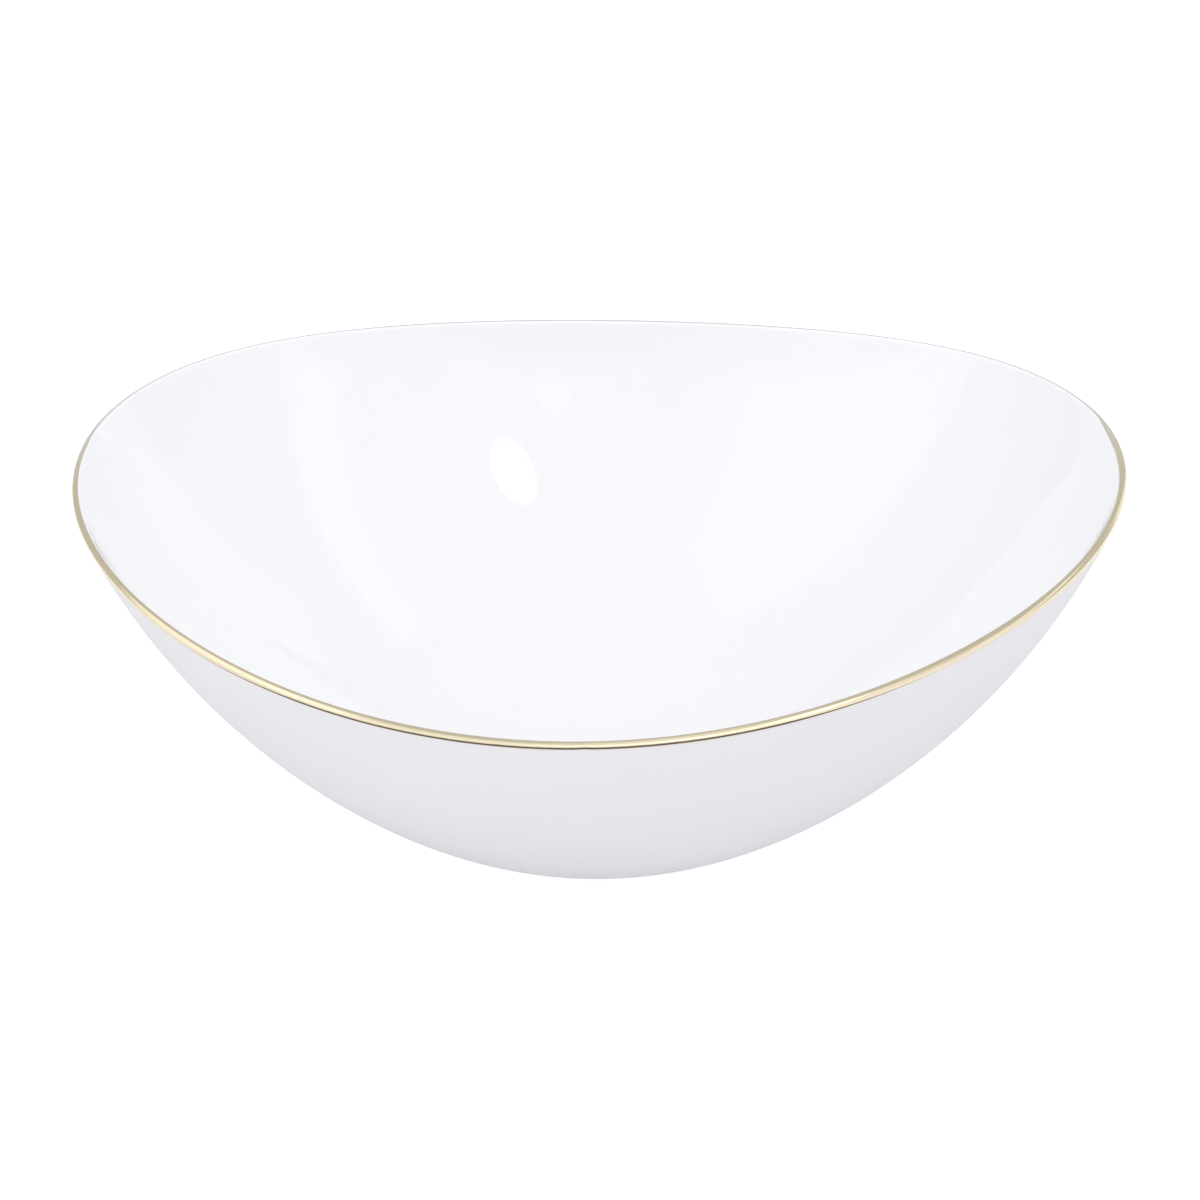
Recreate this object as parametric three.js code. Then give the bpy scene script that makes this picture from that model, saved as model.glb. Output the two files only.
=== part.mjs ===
// A wide porcelain serving bowl with a gold lip, in millimetres: +Z is up, the foot ring stands
// on z = 0, and the long way of the bowl lies along X.
//
// The wall is drawn as a flat section in its own two measures: the run along the wall from the
// middle of the floor to the crest of the lip, and the depth in from the outer skin. One
// function, skinPoint, then carries each point of a turned section onto the bowl's free form.
import * as THREE from "three";

// The rim, seen from above and from the side
const RIM_REACH = 146.7; // from the axis to the rim, on average
const ENDS_FURTHER = 4.3; // the two ends lie this much further out, the two sides as much nearer
const CORNERS_NEARER = 1.4; // the four quarters between them are drawn in by this much
const RIM_HEIGHT = 100.5; // from the lowest point of the belly up to the rim, on average
const ENDS_HIGHER = 7.7; // the two ends rise by this much, the two sides drop as much
const HIGH_POINTS_TURN = THREE.MathUtils.degToRad(5.6); // the high ends sit this far clockwise of X
const RIGHT_HIGHER = 1.7; // a slight tilt of the whole rim, up towards +X
const THREE_WAY_WAVE = 1.2; // the hand-made unevenness left over, three waves round the rim

// The wall
const WALL_RUN = 190; // along the wall, from the middle of the floor to the crest of the lip
const SIDE_SLOPE = THREE.MathUtils.degToRad(76); // how steeply the wall stands at the rim
const ENDS_FLATTER = THREE.MathUtils.degToRad(11.5); // the ends flare out, the sides stand up
const RIGHT_STEEPER = THREE.MathUtils.degToRad(1.8);
const LIFT_POWER = 3; // the rim's rise and fall fades towards the floor by this power
const LIP_THICKNESS = 2.4;
const FLOOR_THICKNESS = 4.5;
const GLAZE = 0.35; // thickness of the glassy lining
const GOLD = 0.4; // thickness of the gold over the lip
const GAP = 0.3; // left between two pieces that touch

// The gold band covers the outer half of the lip and runs down outside by this much from its crest
const GOLD_DOWN_OUTSIDE = 1.9;

// The foot ring, under the belly
const FOOT_DEPTH = 3; // the belly's lowest point hangs this far above the table
const FOOT_OUTER_RADIUS = 46;
const FOOT_INNER_RADIUS = 40.5;
const FOOT_CHAMFER = 0.6;

// How finely the curves are stepped
const STEPS_ROUND = 72;
const STEPS_UP_WALL = 12;
const STEPS_OVER_LIP = 4;
const STEPS_ACROSS_WELL = 3;

const LIP_RADIUS = LIP_THICKNESS / 2;
const LIP_START = WALL_RUN - LIP_RADIUS; // where the wall begins to round over into the lip
const BELOW_GOLD = WALL_RUN - GOLD_DOWN_OUTSIDE - GAP;
const LIP_CREST = Math.PI / 2; // turns over the lip go from 0 outside, over the crest, to PI inside
const LIP_INSIDE = Math.PI;
const HALF_GAP_AT_CREST = GAP / 2 / LIP_RADIUS;

const rimReach = (angle) =>
  RIM_REACH + ENDS_FURTHER * Math.cos(2 * angle) + CORNERS_NEARER * Math.cos(4 * angle);

// How far the rim stands above its average height at an angle.
const rimLift = (angle) =>
  RIGHT_HIGHER * Math.cos(angle) +
  ENDS_HIGHER * Math.cos(2 * (angle + HIGH_POINTS_TURN)) +
  THREE_WAY_WAVE * Math.sin(3 * angle);

const rimSlope = (angle) =>
  SIDE_SLOPE - ENDS_FLATTER * Math.cos(2 * angle) + RIGHT_STEEPER * Math.cos(angle);

// The height of the belly's outer skin at an angle round the axis and a turn along the section,
// which is the arc of an ellipse from the bottom (turn 0) to the rim (turn = rimSlope).
function bellyHeight(angle, turn) {
  const slope = rimSlope(angle);
  const share = Math.sin(turn) / Math.sin(slope);
  const climb = (1 - Math.cos(turn)) / (1 - Math.cos(slope));
  return FOOT_DEPTH + RIM_HEIGHT * climb + rimLift(angle) * share ** LIFT_POWER;
}

// The point at an angle round the axis, a run along the wall and a depth in from its outer skin.
function skinPoint(angle, run, depth) {
  const reach = rimReach(angle);
  const slope = rimSlope(angle);
  const turn = (run / WALL_RUN) * slope;
  const share = Math.sin(turn) / Math.sin(slope);
  const outward = (reach * Math.cos(turn)) / Math.sin(slope);
  const upward =
    (RIM_HEIGHT * Math.sin(turn)) / (1 - Math.cos(slope)) +
    (LIFT_POWER * rimLift(angle) * share ** (LIFT_POWER - 1) * Math.cos(turn)) / Math.sin(slope);
  const step = Math.hypot(outward, upward);
  const radius = reach * share - (depth * upward) / step;
  const height = bellyHeight(angle, turn) + (depth * outward) / step;
  return new THREE.Vector3(radius * Math.cos(angle), radius * Math.sin(angle), height);
}

// The belly's height straight above a point of the table, given by its angle and radius.
function heightOver(angle, radius) {
  const turn = Math.asin((radius / rimReach(angle)) * Math.sin(rimSlope(angle)));
  return bellyHeight(angle, turn);
}

// Turns a closed section round the axis and moves each vertex to where place(angle, x, y) says.
function turned(section, place) {
  const geometry = new THREE.LatheGeometry(section, STEPS_ROUND);
  const vertices = geometry.getAttribute("position");
  for (let i = 0; i < vertices.count; i++) {
    const across = vertices.getX(i);
    const along = vertices.getZ(i);
    const point = place(Math.atan2(across, along), Math.hypot(across, along), vertices.getY(i));
    vertices.setXYZ(i, point.x, point.y, point.z);
  }
  geometry.computeVertexNormals();
  return geometry;
}

const evenly = (from, to, steps) =>
  Array.from({ length: steps + 1 }, (_, i) => from + ((to - from) * i) / steps);

const wallThickness = (run) =>
  THREE.MathUtils.lerp(FLOOR_THICKNESS, LIP_THICKNESS, run / WALL_RUN);

// Section points up or down the wall, at a depth that may change with the run.
const alongWall = (from, to, depthAt) =>
  evenly(from, to, STEPS_UP_WALL).map((run) => new THREE.Vector2(run, depthAt(run)));

// Section points over the lip from one turn to another, at a radius from its middle.
const overLip = (radius, from, to) =>
  evenly(from, to, STEPS_OVER_LIP).map(
    (turn) =>
      new THREE.Vector2(
        LIP_START + radius * Math.sin(turn),
        LIP_RADIUS - radius * Math.cos(turn),
      ),
  );

// The fired body, stepped in at the lip so that the gold and the glaze lie flush over it.
function shellSection() {
  const underGold = LIP_RADIUS - GOLD - GAP;
  const underGlaze = (run) => wallThickness(run) - GLAZE - GAP;
  return [
    ...alongWall(0, BELOW_GOLD, () => 0),
    new THREE.Vector2(BELOW_GOLD, LIP_RADIUS - underGold),
    ...overLip(underGold, 0, LIP_INSIDE),
    ...alongWall(BELOW_GOLD, 0, underGlaze),
  ];
}

// The glassy lining, from the middle of the floor over the inner half of the lip to the gold.
function glazeSection() {
  const edge = LIP_CREST + HALF_GAP_AT_CREST;
  return [
    ...alongWall(0, BELOW_GOLD, (run) => wallThickness(run) - GLAZE),
    ...overLip(LIP_RADIUS - GLAZE, LIP_INSIDE, edge),
    ...overLip(LIP_RADIUS, edge, LIP_INSIDE),
    ...alongWall(BELOW_GOLD, 0, wallThickness),
  ];
}

// The gold, from its edge low outside up to the crest of the lip.
function goldSection() {
  const end = WALL_RUN - GOLD_DOWN_OUTSIDE;
  const edge = LIP_CREST - HALF_GAP_AT_CREST;
  const lowest = new THREE.Vector2(end, 0);
  return [
    lowest,
    ...overLip(LIP_RADIUS, 0, edge),
    ...overLip(LIP_RADIUS - GOLD, edge, 0),
    new THREE.Vector2(end, GOLD),
    lowest,
  ];
}

// The foot ring: x is the radius, y the share of the way up from the table to the belly.
function footSection() {
  const chamferShare = FOOT_CHAMFER / (heightOver(0, FOOT_OUTER_RADIUS) - GAP);
  const start = new THREE.Vector2(FOOT_INNER_RADIUS, 1);
  return [
    start,
    new THREE.Vector2(FOOT_INNER_RADIUS, chamferShare),
    new THREE.Vector2(FOOT_INNER_RADIUS + FOOT_CHAMFER, 0),
    new THREE.Vector2(FOOT_OUTER_RADIUS - FOOT_CHAMFER, 0),
    new THREE.Vector2(FOOT_OUTER_RADIUS, chamferShare),
    new THREE.Vector2(FOOT_OUTER_RADIUS, 1),
    start,
  ];
}

function underBelly(angle, radius, share) {
  const height = share * (heightOver(angle, radius) - GAP);
  return new THREE.Vector3(radius * Math.cos(angle), radius * Math.sin(angle), height);
}

// The glaze on the hollow of the foot: x is the radius, y how far the point hangs below the belly.
function wellSection() {
  const radii = evenly(0, FOOT_INNER_RADIUS - GAP, STEPS_ACROSS_WELL);
  return [
    ...radii.map((radius) => new THREE.Vector2(radius, -GAP - GLAZE)),
    ...radii.reverse().map((radius) => new THREE.Vector2(radius, -GAP)),
  ];
}

function hangingBelow(angle, radius, drop) {
  const height = heightOver(angle, radius) + drop;
  return new THREE.Vector3(radius * Math.cos(angle), radius * Math.sin(angle), height);
}

const BISQUE = { color: "#e6e5ea", roughness: 0.55, metalness: 0 };
const BARE_FOOT = { color: "#efece6", roughness: 0.8, metalness: 0 };
const CLEAR_GLAZE = { color: "#f5f6fa", roughness: 0.08, metalness: 0 };
const BRIGHT_GOLD = { color: "#d9bd7c", roughness: 0.22, metalness: 1 };

const bowl = new THREE.Group();

function addPiece(name, geometry, finish) {
  const mesh = new THREE.Mesh(geometry, new THREE.MeshStandardMaterial(finish));
  mesh.name = name;
  bowl.add(mesh);
}

addPiece("bowl_shell", turned(shellSection(), skinPoint), BISQUE);
addPiece("inner_glaze", turned(glazeSection(), skinPoint), CLEAR_GLAZE);
addPiece("rim_gold_band", turned(goldSection(), skinPoint), BRIGHT_GOLD);
addPiece("foot_ring", turned(footSection(), underBelly), BARE_FOOT);
addPiece("base_well_glaze", turned(wellSection(), hangingBelow), CLEAR_GLAZE);

export default bowl;
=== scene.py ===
"""A wide porcelain serving bowl with a gold lip, modelled and finished on its packed CAD frame.

Laid out as an add-on: the sizes and colours are properties, each piece and the stage has its own
operator, and a sidebar panel lists them. Lengths are in metres, +Z is up, and the bowl stands on
z = 0 with its long way along X."""

import math

import bpy
import numpy as np
from bpy.props import FloatProperty, FloatVectorProperty, IntProperty, PointerProperty
from mathutils import Matrix, Vector


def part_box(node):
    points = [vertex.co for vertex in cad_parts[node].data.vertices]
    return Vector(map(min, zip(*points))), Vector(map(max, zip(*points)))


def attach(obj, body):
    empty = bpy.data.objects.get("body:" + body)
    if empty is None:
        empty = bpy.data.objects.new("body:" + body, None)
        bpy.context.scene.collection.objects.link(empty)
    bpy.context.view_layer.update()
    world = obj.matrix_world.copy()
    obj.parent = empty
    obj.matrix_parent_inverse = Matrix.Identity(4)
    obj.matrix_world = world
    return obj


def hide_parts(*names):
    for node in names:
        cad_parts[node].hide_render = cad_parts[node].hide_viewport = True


bl_info = {
    "name": "Porcelain Serving Bowl",
    "version": (1, 0, 0),
    "blender": (4, 5, 0),
    "location": "3D Viewport > Sidebar > Bowl",
    "description": "Turns, shapes, glazes and gilds a wide porcelain serving bowl",
    "category": "Add Mesh",
}

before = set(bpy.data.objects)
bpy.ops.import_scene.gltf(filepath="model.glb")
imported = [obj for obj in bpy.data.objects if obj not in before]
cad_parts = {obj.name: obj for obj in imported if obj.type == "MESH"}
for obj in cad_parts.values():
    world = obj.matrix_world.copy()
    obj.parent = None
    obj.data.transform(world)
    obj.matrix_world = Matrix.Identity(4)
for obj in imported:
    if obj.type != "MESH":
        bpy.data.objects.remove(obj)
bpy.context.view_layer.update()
FOOT_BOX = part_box("foot_ring")

MM = 0.001
BODY = "root"
BLACK = (0.0, 0.0, 0.0, 1.0)
WHITE = (1.0, 1.0, 1.0, 1.0)
IRON_BROWN = (0.30, 0.27, 0.26, 1.0)
PINHOLE_GREY = (0.45, 0.44, 0.43, 1.0)
SCUFF_GREY = (0.52, 0.49, 0.45, 1.0)
STUDIO_WHITE = (0.985, 0.99, 1.0)
SHARP_EDGE = math.radians(60)
SAME_POINT = MM / 1000


def length(name, description, millimetres):
    """A length property whose default is given in millimetres."""
    return FloatProperty(
        name=name,
        description=description,
        default=millimetres * MM,
        unit="LENGTH",
        precision=5,
    )


def colour(name, description, red_green_blue):
    """A colour property."""
    return FloatVectorProperty(
        name=name,
        description=description,
        default=red_green_blue,
        subtype="COLOR",
        size=3,
        min=0.0,
        max=1.0,
    )


def angle_property(name, description, degrees):
    """An angle property whose default is given in degrees."""
    return FloatProperty(
        name=name,
        description=description,
        default=math.radians(degrees),
        subtype="ANGLE",
    )


def brightness(name, description, default):
    """A brightness property."""
    return FloatProperty(name=name, description=description, default=default, min=0.0)


class BowlForm(bpy.types.PropertyGroup):
    """How the rim and the wall depart from a plain turned bowl"""

    rim_reach: length("Rim reach", "From the axis to the rim, on average", 146.7)
    ends_further: length("Ends further", "How much further out the two ends lie", 4.3)
    corners_nearer: length("Corners nearer", "How far the quarters between are drawn in", 1.4)
    rim_height: length("Rim height", "From the belly's lowest point to the rim, on average", 100.5)
    ends_higher: length("Ends higher", "How much the ends rise and the sides drop", 7.7)
    high_points_turn: angle_property("High points", "How far clockwise of X the ends peak", 5.6)
    right_higher: length("Right higher", "Tilt of the whole rim up towards +X", 1.7)
    three_way_wave: length("Three-way wave", "Unevenness left over, three waves round", 1.2)
    side_slope: angle_property("Side slope", "How steeply the wall stands at the rim", 76.0)
    ends_flatter: angle_property("Ends flatter", "How much the ends flare out", 11.5)
    right_steeper: angle_property("Right steeper", "How much steeper the right end stands", 1.8)
    wall_run: length("Wall run", "Along the wall from the middle of the floor to the lip", 190.0)
    lip_thickness: length("Lip thickness", "Thickness of the wall at the lip", 2.4)
    floor_thickness: length("Floor thickness", "Thickness of the middle of the floor", 4.5)
    foot_depth: length("Foot depth", "Height of the belly's lowest point above the table", 3.0)


class ShellSettings(bpy.types.PropertyGroup):
    """The satin porcelain body"""

    line_pitch: length("Turning line pitch", "Spacing of the turning lines along the wall", 3.3)
    line_depth: length("Turning line depth", "Depth of the lines low on the belly", 0.12)
    columns: IntProperty(name="Columns", description="Steps round the bowl", default=256, min=16)
    porcelain: colour("Porcelain", "Colour of the unglazed satin body", (0.80, 0.79, 0.825))
    blush: colour("Blush", "Warm tinge of the body just below the gold", (0.80, 0.70, 0.64))
    # Partly the bare lip and partly painted shade: this grey is darker than the porcelain so that
    # the crest of the lip looks shaded
    lip: colour("Lip", "Colour of the lip where the glaze has drawn back", (0.63, 0.63, 0.645))


class GlazeSettings(bpy.types.PropertyGroup):
    """The glossy lining and the glazed hollow of the foot"""

    thickness: length("Thickness", "Thickness of the glaze", 0.35)
    lip_edge: angle_property("Lip edge", "How far round the lip from outside the glaze ends", 125)
    unevenness: length("Unevenness", "Height of the slow waves in the fired surface", 0.05)
    clear: colour("Clear", "Colour of the thin glaze up the wall", (0.91, 0.912, 0.932))
    pooled: colour("Pooled", "Colour where the glaze has run together", (0.93, 0.93, 0.94))


class GoldSettings(bpy.types.PropertyGroup):
    """The gold band over the lip"""

    down_outside: length("Down outside", "How far it runs down outside from the crest", 1.9)
    narrower_left: length("Narrower left", "How much less it runs down at the front left", 0.1)
    front_inner_edge: angle_property("Front inner edge", "How far over the lip it runs", 140)
    back_inner_edge: angle_property("Back inner edge", "How far over the lip it runs", 38)
    wander: length("Wander", "How much the painted edges wander", 0.07)
    relief: length("Relief", "Height of the gold over the porcelain", 0.06)
    bright: colour("Bright", "Colour of the thick burnished gold", (0.93, 0.825, 0.60))
    # Partly thin gold and partly painted dark reflection: the dark brown line along the gold's
    # lower edge, widest at the front
    thin: colour("Thin", "Colour of the thin lower edge of the gold", (0.15, 0.115, 0.08))
    # The gold is worn away over the crest, more to the back; this grey, darker than the bare
    # porcelain, is painted shade there
    worn: colour("Worn", "Colour of the crest where the gold is worn away", (0.60, 0.595, 0.59))


class FootSettings(bpy.types.PropertyGroup):
    """The foot ring"""

    outer_radius: length("Outer radius", "Outer radius of the ring", FOOT_BOX[1][0] / MM)
    inner_radius: length("Inner radius", "Inner radius of the ring", 40.5)
    fillet: length("Fillet", "Radius where the ring runs into the belly", 1.6)
    bare: colour("Bare", "Colour of the bare ground porcelain", (0.80, 0.77, 0.71))


class StageSettings(bpy.types.PropertyGroup):
    """The floor, the camera and the lights; a brightness of 1 is white"""

    floor: colour("Floor", "Colour of the floor", (0.93, 0.93, 0.93))
    camera_lift: angle_property("Camera lift", "How far the camera looks down", 27.0)
    camera_distance: length("Camera distance", "From the camera to its target", 1200.0)
    focal_length: FloatProperty(
        name="Focal length",
        description="Focal length of the lens in millimetres",
        default=122.2,
        subtype="DISTANCE_CAMERA",
    )
    front_surround: brightness("Front surround", "Walls of the studio behind the camera", 1.0)
    back_surround: brightness("Back surround", "Walls of the studio behind the bowl", 0.58)
    floor_glow: brightness("Floor glow", "Light that the floor sends to the camera", 0.6)
    left_panel: brightness("Left panel", "Tall softbox on the left", 0.5)
    right_strip: brightness("Right strip", "Leaning strip light on the right", 0.6)
    round_lamp: brightness("Round lamp", "Oval lamp high on the right", 1.3)
    front_spot: brightness("Front spot", "Soft spot beside the camera", 0.8)
    back_strip: brightness("Back strip", "Faint strip behind on the right", 0.4)
    ceiling: brightness("Ceiling", "Wide softbox over the bowl", 0.25)
    top_fill: brightness("Top fill", "Soft light from above that casts no reflection", 0.43)
    left_fill: brightness("Left fill", "Soft light from the left that casts no reflection", 0.32)
    right_fill: brightness("Right fill", "Soft light from the right, without reflection", 0.46)
    front_gleam: brightness("Front gleam", "Low light in front that is only reflected", 0.25)


class BowlShape:
    """Carries the points of a turned section onto the bowl's free form.

    A point is given by its angle round the axis, its run along the wall from the middle of the
    floor and its depth in from the outer skin; each may be an array."""

    LIFT_POWER = 3

    def __init__(self, form):
        self.form = form

    def reach(self, angle):
        """Distance of the rim from the axis."""
        form = self.form
        return (
            form.rim_reach
            + form.ends_further * np.cos(2 * angle)
            + form.corners_nearer * np.cos(4 * angle)
        )

    def lift(self, angle):
        """Height of the rim above its average."""
        form = self.form
        return (
            form.right_higher * np.cos(angle)
            + form.ends_higher * np.cos(2 * (angle + form.high_points_turn))
            + form.three_way_wave * np.sin(3 * angle)
        )

    def slope(self, angle):
        """Angle at which the wall stands at the rim."""
        form = self.form
        return (
            form.side_slope
            - form.ends_flatter * np.cos(2 * angle)
            + form.right_steeper * np.cos(angle)
        )

    def thickness(self, run):
        """Thickness of the wall."""
        form = self.form
        share = run / (form.wall_run - form.lip_thickness / 2)
        return form.floor_thickness + (form.lip_thickness - form.floor_thickness) * share

    def belly_height(self, angle, turn):
        """Height of the outer skin at a turn along the section, which is an ellipse's arc."""
        slope = self.slope(angle)
        share = np.sin(turn) / np.sin(slope)
        climb = (1 - np.cos(turn)) / (1 - np.cos(slope))
        lifted = self.lift(angle) * share**self.LIFT_POWER
        return self.form.foot_depth + self.form.rim_height * climb + lifted

    def point(self, angle, run, depth):
        """Coordinates of a point of the wall, as an array of rows."""
        slope = self.slope(angle)
        turn = run / self.form.wall_run * slope
        share = np.sin(turn) / np.sin(slope)
        outward = self.reach(angle) * np.cos(turn) / np.sin(slope)
        lean = self.lift(angle) * self.LIFT_POWER * share ** (self.LIFT_POWER - 1)
        upward = (
            self.form.rim_height * np.sin(turn) / (1 - np.cos(slope))
            + lean * np.cos(turn) / np.sin(slope)
        )
        step = np.hypot(outward, upward)
        radius = self.reach(angle) * share - depth * upward / step
        height = self.belly_height(angle, turn) + depth * outward / step
        return np.stack([radius * np.cos(angle), radius * np.sin(angle), height], axis=1)

    def height_over(self, angle, radius):
        """Height of the belly straight above a point of the table."""
        turn = np.arcsin(radius / self.reach(angle) * np.sin(self.slope(angle)))
        return self.belly_height(angle, turn)

    def under_belly(self, angle, radius, height, belly_share):
        """Points below the belly, lifted with it by belly_share of its height at each point."""
        lifted = height + belly_share * self.height_over(angle, radius)
        return np.stack([radius * np.cos(angle), radius * np.sin(angle), lifted], axis=1)


def steps(start, end, count):
    """Evenly spaced numbers from start to end, both included."""
    return [start + (end - start) * i / count for i in range(count + 1)]


def ramp(value, start, end):
    """0 at start, 1 at end, a straight climb between them and flat beyond."""
    return np.clip((value - start) / (end - start), 0, 1)


def draw_section(name, corners):
    """A new mesh with the section drawn corner by corner in the XZ plane, left in edit mode."""
    bpy.ops.object.select_all(action="DESELECT")
    bpy.ops.mesh.primitive_plane_add(size=MM)
    piece = bpy.context.object
    piece.name = name
    piece.data.name = name
    bpy.ops.object.mode_set(mode="EDIT")
    bpy.ops.mesh.merge(type="CENTER")
    bpy.ops.transform.translate(value=(corners[0][0], 0, corners[0][1]))
    for before, after in zip(corners, corners[1:]):
        step = (after[0] - before[0], 0, after[1] - before[1])
        bpy.ops.mesh.extrude_region_move(TRANSFORM_OT_translate={"value": step})
    return piece


def spin_section(columns):
    """Spins the drawn section right round Z, closes its seam and poles, and leaves edit mode."""
    bpy.ops.mesh.select_all(action="SELECT")
    bpy.ops.mesh.spin(steps=columns, angle=math.tau, center=(0, 0, 0), axis=(0, 0, 1))
    bpy.ops.mesh.select_all(action="SELECT")
    bpy.ops.mesh.remove_doubles(threshold=SAME_POINT)
    bpy.ops.object.mode_set(mode="OBJECT")


def turned_points(piece):
    """The angle, the distance from the axis and the height of each vertex of a spun piece."""
    flat = np.empty(len(piece.data.vertices) * 3)
    piece.data.vertices.foreach_get("co", flat)
    x, y, z = flat.reshape(-1, 3).T
    return np.arctan2(y, x), np.hypot(x, y), z


def move_points(piece, points):
    """Moves each vertex of the piece to its row of points."""
    piece.data.vertices.foreach_set("co", points.ravel())
    piece.data.update()


def finish_piece(piece, node, finish):
    """Turns a shaped piece's faces outward, smooths it and puts it in place of its CAD node."""
    bpy.ops.object.mode_set(mode="EDIT")
    bpy.ops.mesh.select_all(action="SELECT")
    bpy.ops.mesh.normals_make_consistent(inside=False)
    bpy.ops.object.mode_set(mode="OBJECT")
    bpy.ops.object.shade_smooth_by_angle(angle=SHARP_EDGE)
    piece.data.materials.append(finish.owner)
    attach(piece, BODY)
    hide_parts(node)


class Signal:
    """A number socket that Python arithmetic turns into Math nodes."""

    def __init__(self, finish, socket):
        self.finish = finish
        self.socket = socket

    def math(self, operation, first, second):
        """The result of a Math node; first and second are numbers or signals."""
        node = self.finish.node("ShaderNodeMath", {"operation": operation}, {0: first, 1: second})
        return Signal(self.finish, node.outputs[0])

    def __add__(self, other):
        return self.math("ADD", self, other)

    def __sub__(self, other):
        return self.math("SUBTRACT", self, other)

    def __rsub__(self, other):
        return self.math("SUBTRACT", other, self)

    def __mul__(self, other):
        return self.math("MULTIPLY", self, other)

    __radd__ = __add__

    def over(self, low, high):
        """0 below low, 1 above high and a smooth climb between."""
        settings = {"interpolation_type": "SMOOTHSTEP"}
        inputs = {"Value": self, "From Min": low, "From Max": high}
        node = self.finish.node("ShaderNodeMapRange", settings, inputs)
        return Signal(self.finish, node.outputs["Result"])


class Finish:
    """The shader nodes of a material or of the world."""

    def __init__(self, owner, coordinates="Object"):
        self.owner = owner
        owner.use_nodes = True
        self.tree = owner.node_tree
        self.tree.nodes.clear()
        self.place = self.node("ShaderNodeTexCoord").outputs[coordinates]

    def node(self, kind, settings=None, inputs=None):
        """Adds a node, makes its settings and then fills or links its inputs."""
        node = self.tree.nodes.new(kind)
        for name, value in (settings or {}).items():
            setattr(node, name, value)
        for key, value in (inputs or {}).items():
            socket = self.find_input(node, key)
            if isinstance(value, Signal):
                value = value.socket
            if isinstance(value, bpy.types.NodeSocket):
                self.tree.links.new(value, socket)
            else:
                socket.default_value = value
        return node

    @staticmethod
    def find_input(node, key):
        """An input by its number, its identifier or its name."""
        if isinstance(key, int):
            return node.inputs[key]
        return next(s for s in node.inputs if key in (s.identifier, s.name))

    def signal(self, socket):
        """An output socket that can be reckoned with."""
        return Signal(self, socket)

    def noise(self, scale, detail=2.0, roughness=0.5, stretch=None):
        """Cloudy noise from 0 to 1, with about scale features to the metre.

        A stretch of more than 1 along an axis squeezes the features along it."""
        place = self.place
        if stretch is not None:
            place = self.node(
                "ShaderNodeVectorMath", {"operation": "MULTIPLY"}, {0: place, 1: stretch}
            ).outputs["Vector"]
        inputs = {"Vector": place, "Scale": scale, "Detail": detail, "Roughness": roughness}
        return self.signal(self.node("ShaderNodeTexNoise", None, inputs).outputs["Fac"])

    def part(self, axis):
        """The X, Y or Z part of the coordinates."""
        split = self.node("ShaderNodeSeparateXYZ", None, {"Vector": self.place})
        return self.signal(split.outputs[axis])

    def attribute(self, name):
        """A number kept on the mesh."""
        node = self.node("ShaderNodeAttribute", {"attribute_name": name})
        return self.signal(node.outputs["Fac"])

    def specks(self, scale, size):
        """Sparse round specks, scale to the metre along each axis.

        They are 1 in the middle and fade to 0 at a radius of size times their spacing."""
        inputs = {"Vector": self.place, "Scale": scale}
        node = self.node("ShaderNodeTexVoronoi", None, inputs)
        return 1.0 - self.signal(node.outputs["Distance"]).over(0.0, size)

    def mix(self, factor, first, second):
        """A blend from the first colour to the second."""
        inputs = {"Factor_Float": factor, "A_Color": first, "B_Color": second}
        node = self.node("ShaderNodeMix", {"data_type": "RGBA"}, inputs)
        return next(s for s in node.outputs if s.identifier == "Result_Color")

    def bump(self, height, distance):
        """A normal bent by a height signal; distance is how many metres a height of 1 is."""
        inputs = {"Height": height, "Distance": distance}
        return self.node("ShaderNodeBump", None, inputs).outputs["Normal"]

    def surface(self, inputs):
        """Ends the material in a Principled shader with these inputs."""
        shader = self.node("ShaderNodeBsdfPrincipled", None, inputs)
        self.node("ShaderNodeOutputMaterial", None, {"Surface": shader.outputs["BSDF"]})
        return self


def opaque(rgb, strength=1.0):
    """A colour property as four numbers, scaled in brightness."""
    return (*(c * strength for c in rgb), 1.0)


def new_finish(name):
    """A new material, empty of nodes."""
    return Finish(bpy.data.materials.new(name))


def satin_porcelain(settings):
    """Unglazed porcelain, burnished to a satin skin, with faint clouding and a fine grain.

    The attribute below_gold is the distance down from the gold's lower edge; groove goes from 0
    on the turning lines' crests to 1 at their deepest, where the colour is darkened a little as
    painted shade; lip is 1 over the crest of the lip, whose grey is partly bare porcelain where
    the glaze has drawn back and partly painted shade."""
    darker, paler = 0.985, 1.01
    groove_shade_strength = 0.02
    blush_strength = 0.55
    blush_full, blush_gone = 0.1 * MM, 1.1 * MM
    speck_strength = 0.3
    grain_share = 0.6
    relief_height = 0.012 * MM
    smoothest, roughness_spread = 0.46, 0.06
    finish = new_finish("satin_porcelain")
    clouds = finish.noise(scale=22, detail=3)
    grain = finish.noise(scale=2600, detail=2, roughness=0.6)
    drag = finish.noise(scale=90, detail=3, roughness=0.6, stretch=(1, 1, 14))
    iron_specks = finish.specks(scale=62, size=0.02)
    # Painted shade: the colour darkens a little towards the deepest part of each turning line
    groove_shade = finish.attribute("groove") * groove_shade_strength
    near_gold = 1.0 - finish.attribute("below_gold").over(blush_full, blush_gone)
    body = finish.mix(
        clouds, opaque(settings.porcelain, darker), opaque(settings.porcelain, paler)
    )
    lined = finish.mix(groove_shade, body, BLACK)
    blushed = finish.mix(near_gold * blush_strength, lined, opaque(settings.blush))
    # Partly painted shade: over the crest of the lip the colour goes to the grey lip colour,
    # darker than the bare porcelain
    lip_shaded = finish.mix(finish.attribute("lip"), blushed, opaque(settings.lip))
    relief = grain * grain_share + drag * (1 - grain_share)
    return finish.surface(
        {
            "Base Color": finish.mix(iron_specks * speck_strength, lip_shaded, IRON_BROWN),
            "Roughness": smoothest + (clouds + grain) * roughness_spread,
            "Normal": finish.bump(relief, relief_height),
            "IOR": 1.48,
        }
    )


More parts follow.
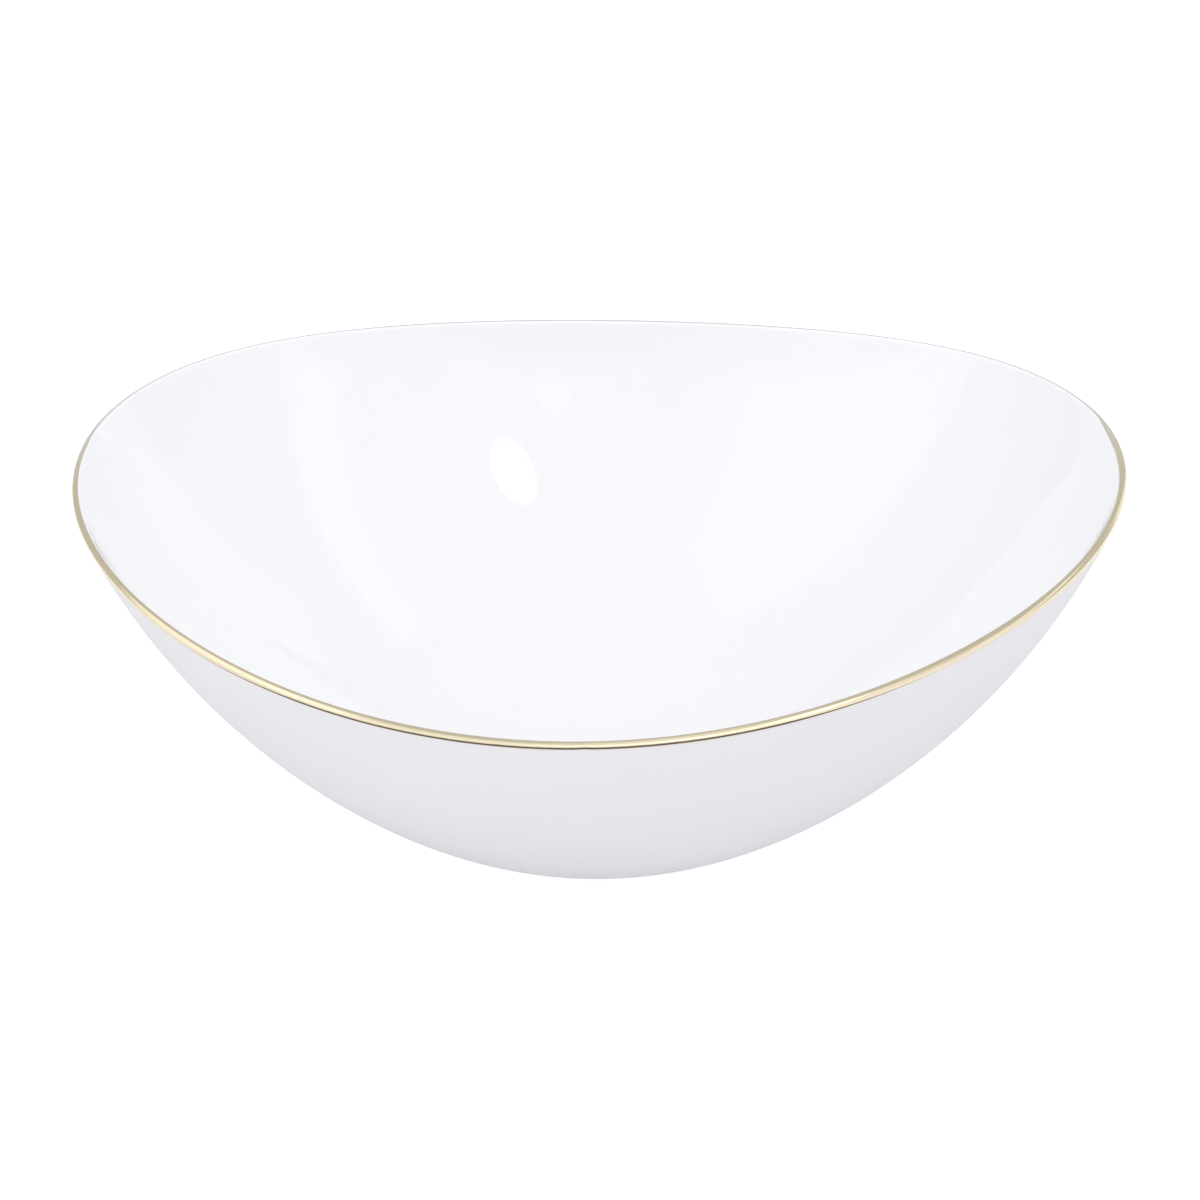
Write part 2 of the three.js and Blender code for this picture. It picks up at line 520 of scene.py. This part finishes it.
def clear_glaze(settings, name, pool_top, pool_fade):
    """Clear glossy glaze, paler where it pools, with orange peel and a few pinholes.

    It is pooled up to the height pool_top, and clears over the next pool_fade."""
    pool_strength = 0.8
    cloud_strength = 0.3
    cloud_paler = 1.01
    pinhole_strength = 0.4
    peel_share, pinhole_share = 0.5, 1.2
    relief_height = 0.004 * MM
    smoothest, cloud_roughness, pinhole_roughness = 0.01, 0.01, 0.3
    finish = new_finish(name)
    pooled = 1.0 - finish.part("Z").over(pool_top, pool_top + pool_fade)
    clouds = finish.noise(scale=14, detail=2)
    peel = finish.noise(scale=170, detail=2, roughness=0.4)
    pinholes = finish.specks(scale=58, size=0.016)
    tint = finish.mix(pooled * pool_strength, opaque(settings.clear), opaque(settings.pooled))
    clouded = finish.mix(clouds * cloud_strength, tint, opaque(settings.clear, cloud_paler))
    relief = peel * peel_share - pinholes * pinhole_share
    return finish.surface(
        {
            "Base Color": finish.mix(pinholes * pinhole_strength, clouded, PINHOLE_GREY),
            "Roughness": smoothest + clouds * cloud_roughness + pinholes * pinhole_roughness,
            "Normal": finish.bump(relief, relief_height),
            "IOR": 1.52,
        }
    )


def burnished_gold(settings):
    """Fired gold, burnished along the band and dark brown along its lower edge, where the line is
    partly thin gold and partly a painted dark reflection.

    The attribute thick goes from 0 at the lower edge to 1 where the gold is at its full
    thickness, and on above 1; worn goes to 1 where the gold is worn away, and the grey there,
    darker than the bare porcelain, is painted shade of the crest."""
    edge_unevenness = 0.3
    dark_edge_below, full_above = 0.75, 1.0
    wear_strength = 0.5
    wear_darker = 0.93
    worn_metal_lost = 0.8
    relief_height = 0.006 * MM
    smoothest, streak_roughness, dark_edge_roughness = 0.13, 0.08, 0.2
    finish = new_finish("burnished_gold")
    streaks = finish.noise(scale=500, detail=3, roughness=0.6, stretch=(1, 1, 6))
    wear = finish.noise(scale=260, detail=3, roughness=0.55)
    # The dark brown line along the lower edge is partly thin gold and partly a painted dark
    # reflection
    thick = finish.attribute("thick") + (streaks - 0.5) * edge_unevenness
    thin_edge_and_shade = 1.0 - thick.over(dark_edge_below, full_above)
    # Where the gold is worn away over the crest it turns grey, darker than the bare porcelain:
    # wear with painted shade
    worn = finish.attribute("worn")
    body = finish.mix(
        wear * wear_strength, opaque(settings.bright), opaque(settings.bright, wear_darker)
    )
    edged = finish.mix(thin_edge_and_shade, body, opaque(settings.thin))
    return finish.surface(
        {
            "Base Color": finish.mix(worn, edged, opaque(settings.worn)),
            "Metallic": 1.0 - worn * worn_metal_lost,
            "Roughness": smoothest + streaks * streak_roughness + thin_edge_and_shade * dark_edge_roughness,
            "Normal": finish.bump(streaks, relief_height),
        }
    )


def bare_porcelain(settings):
    """The ground underside of the foot: bare, dry, with fine grinding rings and scuffs."""
    ground_below, bare_above = 0.1 * MM, 0.9 * MM
    scuffs_from, scuffs_full = 0.5, 0.75
    scuff_strength = 0.5
    grain_share = 0.5
    relief_height = 0.03 * MM
    smoothest, grain_roughness = 0.72, 0.16
    finish = new_finish("bare_porcelain")
    grain = finish.noise(scale=1800, detail=3, roughness=0.65)
    rings = finish.node(
        "ShaderNodeTexWave",
        {"wave_type": "RINGS", "rings_direction": "Z"},
        {"Vector": finish.place, "Scale": 320, "Distortion": 2.5, "Detail": 2.0},
    )
    ground = 1.0 - finish.part("Z").over(ground_below, bare_above)
    grinding = finish.signal(rings.outputs["Fac"]) * ground
    scuffs = finish.noise(scale=60, detail=3, roughness=0.6).over(scuffs_from, scuffs_full)
    relief = grain * grain_share + grinding * (1 - grain_share)
    return finish.surface(
        {
            "Base Color": finish.mix(
                scuffs * ground * scuff_strength, opaque(settings.bare), SCUFF_GREY
            ),
            "Roughness": smoothest + grain * grain_roughness,
            "Normal": finish.bump(relief, relief_height),
        }
    )


def glowing_floor(settings):
    """A pale floor with hardly any texture, which also glows towards the camera."""
    darker = 0.99
    finish = new_finish("pale_floor")
    clouds = finish.noise(scale=3, detail=2)
    seen = finish.signal(finish.node("ShaderNodeLightPath").outputs["Is Camera Ray"])
    return finish.surface(
        {
            "Base Color": finish.mix(
                clouds, opaque(settings.floor), opaque(settings.floor, darker)
            ),
            "Roughness": 0.9,
            "Specular IOR Level": 0.1,
            "Emission Color": finish.mix(seen, BLACK, WHITE),
            "Emission Strength": settings.floor_glow,
        }
    )


def studio_walls(settings):
    """The world: pale walls, brighter behind the camera than behind the bowl."""
    back_until, front_from = -0.25, 0.65
    walls = Finish(bpy.data.worlds.new("studio_walls"), "Generated")
    frontness = (0.0 - walls.part("Y")).over(back_until, front_from)
    light = walls.mix(
        frontness,
        opaque(STUDIO_WHITE, settings.back_surround),
        opaque(STUDIO_WHITE, settings.front_surround),
    )
    background = walls.node("ShaderNodeBackground", None, {"Color": light})
    walls.node("ShaderNodeOutputWorld", None, {"Surface": background.outputs["Background"]})
    return walls.owner


def lip_corner(form, radius, turn):
    """A section corner over the lip, at a radius from its middle.

    The turn is 0 on the outer side, pi / 2 at the crest and pi on the inner side."""
    middle = form.lip_thickness / 2
    lip_start = form.wall_run - middle
    return lip_start + radius * math.sin(turn), middle - radius * math.cos(turn)


def over_lip(form, radius, start, end, count):
    """Section corners over the lip, turning from start to end."""
    return [lip_corner(form, radius, turn) for turn in steps(start, end, count)]


def keep_on_mesh(piece, name, values):
    """Keeps one number per vertex on the mesh, for its material."""
    attribute = piece.data.attributes.new(name, "FLOAT", "POINT")
    attribute.data.foreach_set("value", values.astype(np.float32))


class GoldLine:
    """Where the painted gold begins and ends at each angle round the rim."""

    # The waves that the two edges wander in: how far, how many round the rim, where they start,
    # and how much later they start on the inner edge
    WANDER_WAVES = (
        (0.5, 2, 0.7, 1.0),
        (0.3, 5, 0.0, 2.1),
        (0.15, 17, 0.0, 1.0),
        (0.075, 41, 1.3, 0.0),
    )
    FRONT_LEFT = math.radians(-135)
    FRONT_LEFT_POWER = 3
    JOIN = math.radians(-91.5)
    JOIN_WIDTH = math.radians(0.8)
    JOIN_STEP = 0.15 * MM
    # How far back, as the sine of the angle, the inner edge begins to draw back and has done so
    DRAWS_BACK_FROM = 0.06
    DRAWN_BACK_BY = 0.36
    RIGHT_END_FURTHER = math.radians(40)
    RIGHT_END_POWER = 6

    def __init__(self, settings, form):
        self.settings = settings
        self.lip_radius = form.lip_thickness / 2

    def join(self, angle):
        """1 where the brush began and ended its round, fading to 0 beside it."""
        return np.exp(-(((angle - self.JOIN) / self.JOIN_WIDTH) ** 2))

    def wander(self, angle, inner):
        """Wander of the lower edge, or with inner of the inner edge, round the rim."""
        waves = (
            far * np.sin(count * angle + start + inner * later)
            for far, count, start, later in self.WANDER_WAVES
        )
        return self.settings.wander * sum(waves)

    def down(self, angle):
        """How far the gold runs down outside, from the crest."""
        front_left = np.clip(np.cos(angle - self.FRONT_LEFT), 0, 1) ** self.FRONT_LEFT_POWER
        less = self.settings.narrower_left * front_left + self.JOIN_STEP * self.join(angle)
        return self.settings.down_outside - less + self.wander(angle, False)

    def inner_edge(self, angle):
        """How far over the lip the gold turns, from its outer side."""
        frontness = ramp(np.sin(angle), self.DRAWN_BACK_BY, self.DRAWS_BACK_FROM)
        frontness = frontness**2 * (3 - 2 * frontness)
        right_end = np.clip(np.cos(angle), 0, 1) ** self.RIGHT_END_POWER
        front = self.settings.front_inner_edge + self.RIGHT_END_FURTHER * right_end
        back = self.settings.back_inner_edge
        return back + (front - back) * frontness + self.wander(angle, True) / self.lip_radius


class BOWL_OT_shell(bpy.types.Operator):
    """Turn the porcelain body with its fine turning lines and pull it into its free form"""

    bl_idname = "bowl.shell"
    bl_label = "Porcelain Shell"

    LINES_FROM = 30 * MM
    LINES_TO = 150 * MM
    LINES_SET_IN = 0.2  # the share of the lined run over which they reach their depth
    LINES_FADE_POWER = 0.8
    LINES_UNEVENNESS = 0.2
    LINES_UNEVEN_TURN = 1.7  # radians from each line to the next
    FLOOR_ROWS = 5
    ROWS_PER_LINE = 7
    PLAIN_ROWS = 14
    LIP_ROWS = 12
    GLAZED_LIP_ROWS = 5
    INSIDE_ROWS = 24
    SUNK_AT_LIP = 0.02 * MM
    GLAZE_STEP = math.radians(6)
    # Where the grey of the lip's crest, partly painted shade, begins and is full
    LIP_SHADE_FROM = 0.25  # share of the lip's radius in from the outer skin
    LIP_SHADE_TO = 0.75

    def line_depth(self, settings, run):
        """Depth of the turning lines, deepest low on the belly and fading towards the rim."""
        share = (run - self.LINES_FROM) / (self.LINES_TO - self.LINES_FROM)
        line = (run - self.LINES_FROM) / settings.line_pitch
        fade = min(1, share / self.LINES_SET_IN) * (1 - share) ** self.LINES_FADE_POWER
        uneven = 1 - self.LINES_UNEVENNESS * (1 - math.sin(self.LINES_UNEVEN_TURN * line))
        wave = (1 - math.cos(math.tau * line)) / 2
        return settings.line_depth * fade * uneven * wave

    def execute(self, context):
        form = context.scene.bowl_form
        settings = context.scene.bowl_shell
        glaze = context.scene.bowl_glaze
        shape = BowlShape(form)
        lip_radius = form.lip_thickness / 2
        lip_start = form.wall_run - lip_radius
        line_rows = round((self.LINES_TO - self.LINES_FROM) / settings.line_pitch)
        lined = steps(self.LINES_FROM, self.LINES_TO, line_rows * self.ROWS_PER_LINE)
        bare_lip = lip_radius - self.SUNK_AT_LIP
        bare_lip_end = glaze.lip_edge - self.GLAZE_STEP
        glazed_lip = lip_radius - glaze.thickness
        glazed_lip_start = glaze.lip_edge + self.GLAZE_STEP
        inside = steps(lip_start, 0, self.INSIDE_ROWS)[1:]
        corners = [
            *((run, 0) for run in steps(0, self.LINES_FROM, self.FLOOR_ROWS)[:-1]),
            *((run, self.line_depth(settings, run)) for run in lined),
            *((run, 0) for run in steps(self.LINES_TO, lip_start, self.PLAIN_ROWS)[1:-1]),
            *over_lip(form, bare_lip, 0, bare_lip_end, self.LIP_ROWS),
            *over_lip(form, glazed_lip, glazed_lip_start, math.pi, self.GLAZED_LIP_ROWS),
            *((run, shape.thickness(run) - glaze.thickness) for run in inside),
        ]
        piece = draw_section("bowl_shell_porcelain", corners)
        spin_section(settings.columns)
        angle, run, depth = turned_points(piece)
        gold_edge = form.wall_run - GoldLine(context.scene.bowl_gold, form).down(angle)
        keep_on_mesh(piece, "below_gold", gold_edge - run)
        lined_skin = (depth < MM) & (run < self.LINES_TO)
        keep_on_mesh(piece, "groove", np.where(lined_skin, depth / settings.line_depth, 0))
        # Partly painted shade: the crest of the lip takes the darker grey lip colour
        crest_shade = ramp(depth, self.LIP_SHADE_FROM * lip_radius, self.LIP_SHADE_TO * lip_radius)
        keep_on_mesh(piece, "lip", np.where(run > lip_start, crest_shade, 0))
        move_points(piece, shape.point(angle, run, depth))
        finish_piece(piece, "bowl_shell", satin_porcelain(settings))
        return {"FINISHED"}


class BOWL_OT_lining(bpy.types.Operator):
    """Flow the glossy glaze over the inside of the bowl and round the inside of its lip"""

    bl_idname = "bowl.lining"
    bl_label = "Inner Glaze"

    # The slow waves of the fired surface: how high, how many round the bowl, their twist by the
    # metre of wall and where they start, then how many radians to the metre up the wall and where
    # those start
    WAVES = (
        (0.6, 3, 40, 0.0, 55, 1.0),
        (0.4, 7, -31, 2.0, 90, 0.0),
    )
    CALM_RUN = 60 * MM
    FADE_AT_LIP = 12 * MM
    ROWS = 110
    ROWS_BEHIND = 30
    LIP_ROWS = 8
    COLUMNS = 256
    BITE = 0.03 * MM
    EDGE_DEPTH = 0.08 * MM
    POOL_TOP = 8 * MM
    POOL_FADE = 22 * MM

    def waves(self, angle, run):
        """Slow waves of the fired surface, between -1 and 1, calm at the middle."""
        waves = (
            high * np.sin(count * angle + twist * run + start) * np.sin(up * run + up_start)
            for high, count, twist, start, up, up_start in self.WAVES
        )
        return ramp(run, 0, self.CALM_RUN) * sum(waves)

    def execute(self, context):
        form = context.scene.bowl_form
        settings = context.scene.bowl_glaze
        shape = BowlShape(form)
        lip_radius = form.lip_thickness / 2
        lip_start = form.wall_run - lip_radius
        behind = settings.thickness + self.BITE
        edge = settings.lip_edge
        rounded_edge = edge + self.EDGE_DEPTH / lip_radius
        up_wall = steps(0, lip_start, self.ROWS_BEHIND)[:-1]
        down_wall = steps(lip_start, 0, self.ROWS)[1:]
        corners = [
            *((run, shape.thickness(run) - behind) for run in up_wall),
            *over_lip(form, lip_radius - behind, math.pi, edge, self.LIP_ROWS),
            lip_corner(form, lip_radius - self.EDGE_DEPTH, edge),
            *over_lip(form, lip_radius, rounded_edge, math.pi, self.LIP_ROWS),
            *((run, shape.thickness(run)) for run in down_wall),
        ]
        piece = draw_section("inner_glaze_lining", corners)
        spin_section(self.COLUMNS)
        angle, run, depth = turned_points(piece)
        front = depth > shape.thickness(run) - behind / 2
        fade = ramp(run, lip_start, lip_start - self.FADE_AT_LIP)
        depth = depth - front * fade * settings.unevenness * self.waves(angle, run)
        move_points(piece, shape.point(angle, run, depth))
        finish = clear_glaze(settings, "clear_glaze", self.POOL_TOP, self.POOL_FADE)
        finish_piece(piece, "inner_glaze", finish)
        return {"FINISHED"}


class BOWL_OT_gold(bpy.types.Operator):
    """Paint the gold band over the lip"""

    bl_idname = "bowl.gold"
    bl_label = "Gold Band"

    COLUMNS = 1024
    ROWS = 28
    ROWS_BEHIND = 7
    # The section is spun flat, as a ring of this radius and width, before it's laid on the lip
    RING_RADIUS = 100 * MM
    RING_WIDTH = 10 * MM
    RING_DEPTH = MM
    BACK_DEPTH = 0.1 * MM
    BEAD_POWER = 4
    THICKER_AT_JOIN = 0.5
    # The dark line painted along the gold's lower edge, partly thin gold and partly painted dark
    # reflection, widest at the front
    DARK_LINE_WIDTH = 0.05 * MM
    DARK_LINE_WIDER_FRONT = 0.8 * MM
    DARK_LINE_WIDEST = math.radians(-97)
    DARK_LINE_FULL_TO = math.radians(27)
    DARK_LINE_GONE_FROM = math.radians(45)
    # How far back, as the sine of the angle, and how far over the lip the wear and its grey
    # painted shade begin and are full
    WORN_FROM_SINE = -0.1
    WORN_TO_SINE = 0.25
    WORN_FROM_TURN = math.radians(40)
    WORN_TO_TURN = math.radians(60)

    def dark_line_width(self, angle):
        """Width of the dark line along the lower edge, partly thin gold and partly painted dark
        reflection, widest at the front.
        """
        away = np.abs(np.angle(np.exp(1j * (angle - self.DARK_LINE_WIDEST))))
        at_front = ramp(away, self.DARK_LINE_GONE_FROM, self.DARK_LINE_FULL_TO)
        return self.DARK_LINE_WIDTH + self.DARK_LINE_WIDER_FRONT * at_front

    def worn(self, angle, turn):
        """How far the gold is worn away, showing a grey that is painted shade: only over the crest
        of the lip, and more to the back.
        """
        to_back = ramp(np.sin(angle), self.WORN_FROM_SINE, self.WORN_TO_SINE)
        return to_back * ramp(turn, self.WORN_FROM_TURN, self.WORN_TO_TURN)

    def execute(self, context):
        form = context.scene.bowl_form
        settings = context.scene.bowl_gold
        shape = BowlShape(form)
        line = GoldLine(settings, form)
        radius = form.lip_thickness / 2
        lip_start = form.wall_run - radius
        ring_edge = self.RING_RADIUS + self.RING_WIDTH
        skin = [(x, self.RING_DEPTH) for x in steps(self.RING_RADIUS, ring_edge, self.ROWS)]
        back = [(x, 0) for x in steps(ring_edge, self.RING_RADIUS, self.ROWS_BEHIND)]
        piece = draw_section("rim_gold_band_skin", [*skin, *back, skin[0]])
        spin_section(self.COLUMNS)
        angle, ring_radius, layer = turned_points(piece)
        share = ramp(ring_radius, self.RING_RADIUS, ring_edge)
        straight = line.down(angle) - radius
        along = share * (straight + radius * line.inner_edge(angle))
        turn = np.clip((along - straight) / radius, 0, None)
        bead = (1 - (2 * share - 1) ** self.BEAD_POWER) ** 0.5
        thicker = 1 + self.THICKER_AT_JOIN * line.join(angle)
        on_skin = layer > self.RING_DEPTH / 2
        height = np.where(on_skin, settings.relief * bead * thicker, -self.BACK_DEPTH)
        on_wall = np.minimum(along - straight, 0)
        run = lip_start + on_wall + (radius + height) * np.sin(turn)
        depth = radius - (radius + height) * np.cos(turn)
        # thick is measured in widths of the dark line, which is partly painted dark reflection
        keep_on_mesh(piece, "thick", along / self.dark_line_width(angle))
        keep_on_mesh(piece, "worn", self.worn(angle, turn))
        move_points(piece, shape.point(angle, run, depth))
        finish_piece(piece, "rim_gold_band", burnished_gold(settings))
        return {"FINISHED"}


class BOWL_OT_foot(bpy.types.Operator):
    """Turn the foot ring and lute it to the belly with a smooth fillet"""

    bl_idname = "bowl.foot"
    bl_label = "Foot Ring"

    COLUMNS = 256
    EDGE_RADIUS = 0.7 * MM
    ROUND_STEPS = 6
    # The corners that follow the belly are drawn this much higher, to tell them apart
    RAISED = 1.0

    def arc(self, x, z, radius, start, end):
        """Section corners on an arc; start and end are in degrees, 0 along +X."""
        turns = steps(math.radians(start), math.radians(end), self.ROUND_STEPS)
        return [(x + radius * math.cos(t), z + radius * math.sin(t)) for t in turns]

    def execute(self, context):
        form = context.scene.bowl_form
        settings = context.scene.bowl_foot
        shape = BowlShape(form)
        outer, inner = settings.outer_radius, settings.inner_radius
        edge, fillet = self.EDGE_RADIUS, settings.fillet
        corners = [
            *self.arc(inner + edge, edge, edge, 180, 270),
            *self.arc(outer - edge, edge, edge, 270, 360),
            *self.arc(outer + fillet, self.RAISED - fillet, fillet, 180, 90),
            (outer - edge, self.RAISED + edge),
            (inner + edge, self.RAISED + edge),
            *self.arc(inner - fillet, self.RAISED - fillet, fillet, 90, 0),
        ]
        corners.append(corners[0])
        piece = draw_section("foot_ring_turned", corners)
        spin_section(self.COLUMNS)
        angle, radius, height = turned_points(piece)
        on_belly = height > self.RAISED / 2
        height = height - self.RAISED * on_belly
        move_points(piece, shape.under_belly(angle, radius, height, on_belly))
        finish_piece(piece, "foot_ring", bare_porcelain(settings))
        return {"FINISHED"}


class BOWL_OT_well(bpy.types.Operator):
    """Glaze the hollow inside the foot ring"""

    bl_idname = "bowl.well"
    bl_label = "Base Well Glaze"

    COLUMNS = 192
    ROWS = 20
    EDGE_GAP = 0.1 * MM
    POOL_TOP = 2 * MM
    POOL_FADE = 3 * MM

    def execute(self, context):
        form = context.scene.bowl_form
        settings = context.scene.bowl_glaze
        shape = BowlShape(form)
        edge = context.scene.bowl_foot.inner_radius - self.EDGE_GAP
        below = [(radius, -settings.thickness) for radius in steps(0, edge, self.ROWS)]
        above = [(radius, settings.thickness) for radius in steps(edge, 0, self.ROWS)]
        piece = draw_section("base_well_glazed", [*below, *above])
        spin_section(self.COLUMNS)
        angle, radius, drop = turned_points(piece)
        move_points(piece, shape.under_belly(angle, radius, drop, 1.0))
        finish = clear_glaze(settings, "well_glaze", self.POOL_TOP, self.POOL_FADE)
        finish_piece(piece, "base_well_glaze", finish)
        return {"FINISHED"}


class BOWL_OT_stage(bpy.types.Operator):
    """Lay the floor and set up the camera and the studio lights"""

    bl_idname = "bowl.stage"
    bl_label = "Stage"

    FLOOR_SIZE = 14.0
    VIEW_DEPTH = 50.0
    TARGET = Vector((0.0003, 0.0, 0.066))
    LAMP_DISTANCE = 2.0

    def lay_floor(self, settings):
        """Lays the plain pale floor under the bowl."""
        bpy.ops.object.select_all(action="DESELECT")
        bpy.ops.mesh.primitive_plane_add(size=self.FLOOR_SIZE)
        floor = bpy.context.object
        floor.name = "floor"
        floor.data.materials.append(glowing_floor(settings).owner)

    def aim_camera(self, scene, settings):
        """Looks down at the bowl from the front."""
        bpy.ops.object.camera_add(location=self.TARGET + self.back * settings.camera_distance)
        camera = bpy.context.object
        camera.rotation_euler = self.back.to_track_quat("Z", "Y").to_euler()
        camera.data.lens = settings.focal_length
        camera.data.clip_end = self.VIEW_DEPTH
        scene.camera = camera

    def from_camera(self, right, up, back):
        """A direction given as the camera sees it: right, up and back towards the camera."""
        return Vector((right, 0, 0)) + self.up * up + self.back * back

    def hang_lamp(self, name, middle, across, along, strength, shape="RECTANGLE"):
        """Hangs a flat lamp with its middle and its two sides given as the camera sees them.

        All three are in lamp distances from the bowl. A lamp of strength 1 looks white. One whose
        name ends in _fill casts no reflection, and one that ends in _gleam is only reflected."""
        middle, across, along = (self.from_camera(*v) for v in (middle, across, along))
        facing = across.cross(along).normalized()
        if facing.dot(middle) < 0:
            across.negate()
            facing.negate()
        turn = Matrix((across.normalized(), facing.cross(across).normalized(), facing))
        place = self.TARGET + middle * self.LAMP_DISTANCE
        bpy.ops.object.light_add(type="AREA", location=place)
        lamp = bpy.context.object
        lamp.name = name
        lamp.rotation_euler = turn.transposed().to_euler()
        lamp.data.shape = shape
        lamp.data.size = across.length * self.LAMP_DISTANCE
        lamp.data.size_y = along.length * self.LAMP_DISTANCE
        area = lamp.data.size * lamp.data.size_y
        if shape == "ELLIPSE":
            area *= math.pi / 4
        # A flat lamp of strength 1 sends out pi watts to the square metre
        lamp.data.energy = strength * area * math.pi
        lamp.visible_glossy = not name.endswith("_fill")
        lamp.visible_diffuse = not name.endswith("_gleam")

    def execute(self, context):
        settings = context.scene.bowl_stage
        lift = settings.camera_lift
        self.back = Vector((0, -math.cos(lift), math.sin(lift)))
        self.up = Vector((0, math.sin(lift), math.cos(lift)))
        self.lay_floor(settings)
        self.aim_camera(context.scene, settings)
        context.scene.world = studio_walls(settings)
        for name, lamp in LAMPS.items():
            self.hang_lamp(name, *lamp[:3], getattr(settings, name), *lamp[3:])
        context.scene.view_settings.view_transform = "Standard"
        return {"FINISHED"}


class BOWL_PT_panel(bpy.types.Panel):
    """Sizes, colours and steps of the serving bowl"""

    bl_label = "Serving Bowl"
    bl_idname = "BOWL_PT_panel"
    bl_space_type = "VIEW_3D"
    bl_region_type = "UI"
    bl_category = "Bowl"

    def draw(self, context):
        layout = self.layout
        for operator in OPERATORS:
            layout.operator(operator.bl_idname)
        for name, group in SETTINGS.items():
            box = layout.box()
            box.label(text=group.__doc__)
            for prop in group.__annotations__:
                box.prop(getattr(context.scene, name), prop)


# Each lamp's middle and its two sides, all as the camera sees them (right, up, back), and its
# shape where it isn't a rectangle
LAMPS = {
    "left_panel": ((-1.0, 1.25, 0.48), (0.0, 0.0, 1.05), (0.0, 2.5, 0.0)),
    "right_strip": ((1.0, 0.9, 0.01), (0.0, 0.06, 0.17), (0.0, 1.7, -0.62)),
    "round_lamp": ((0.45, 0.58, 0.68), (0.18, 0.0, -0.12), (0.16, -0.39, 0.22), "ELLIPSE"),
    "front_spot": ((0.27, 0.02, 0.96), (0.18, 0.0, -0.05), (0.0, 0.3, 0.0), "ELLIPSE"),
    "back_strip": ((0.69, 0.5, -0.55), (0.2, -0.05, 0.2), (0.0, 0.8, 0.1)),
    "ceiling": ((0.05, 1.0, 0.45), (0.3, 0.0, 0.0), (0.0, 0.0, 0.78)),
    "top_fill": ((0.0, 1.0, 0.12), (1.5, 0.0, 0.0), (0.0, -0.2, 1.5)),
    "left_fill": ((-0.85, 0.15, 0.55), (0.4, 0.0, 0.8), (0.0, 0.6, 0.3)),
    "right_fill": ((0.8, 0.62, 0.32), (0.0, 0.0, 1.0), (-0.5, 0.8, 0.0)),
    "front_gleam": ((0.26, -0.05, 0.97), (1.1, 0.0, -0.3), (0.0, 0.89, 0.05)),
}
SETTINGS = {
    "bowl_form": BowlForm,
    "bowl_shell": ShellSettings,
    "bowl_glaze": GlazeSettings,
    "bowl_gold": GoldSettings,
    "bowl_foot": FootSettings,
    "bowl_stage": StageSettings,
}
OPERATORS = (
    BOWL_OT_shell,
    BOWL_OT_lining,
    BOWL_OT_gold,
    BOWL_OT_foot,
    BOWL_OT_well,
    BOWL_OT_stage,
)


def register():
    for name, group in SETTINGS.items():
        bpy.utils.register_class(group)
        setattr(bpy.types.Scene, name, PointerProperty(type=group))
    for operator in OPERATORS:
        bpy.utils.register_class(operator)
    bpy.utils.register_class(BOWL_PT_panel)


def unregister():
    bpy.utils.unregister_class(BOWL_PT_panel)
    for operator in reversed(OPERATORS):
        bpy.utils.unregister_class(operator)
    for name, group in reversed(SETTINGS.items()):
        delattr(bpy.types.Scene, name)
        bpy.utils.unregister_class(group)


def main():
    register()
    bpy.ops.bowl.shell()
    bpy.ops.bowl.lining()
    bpy.ops.bowl.gold()
    bpy.ops.bowl.foot()
    bpy.ops.bowl.well()
    bpy.ops.bowl.stage()


if __name__ == "__main__":
    main()
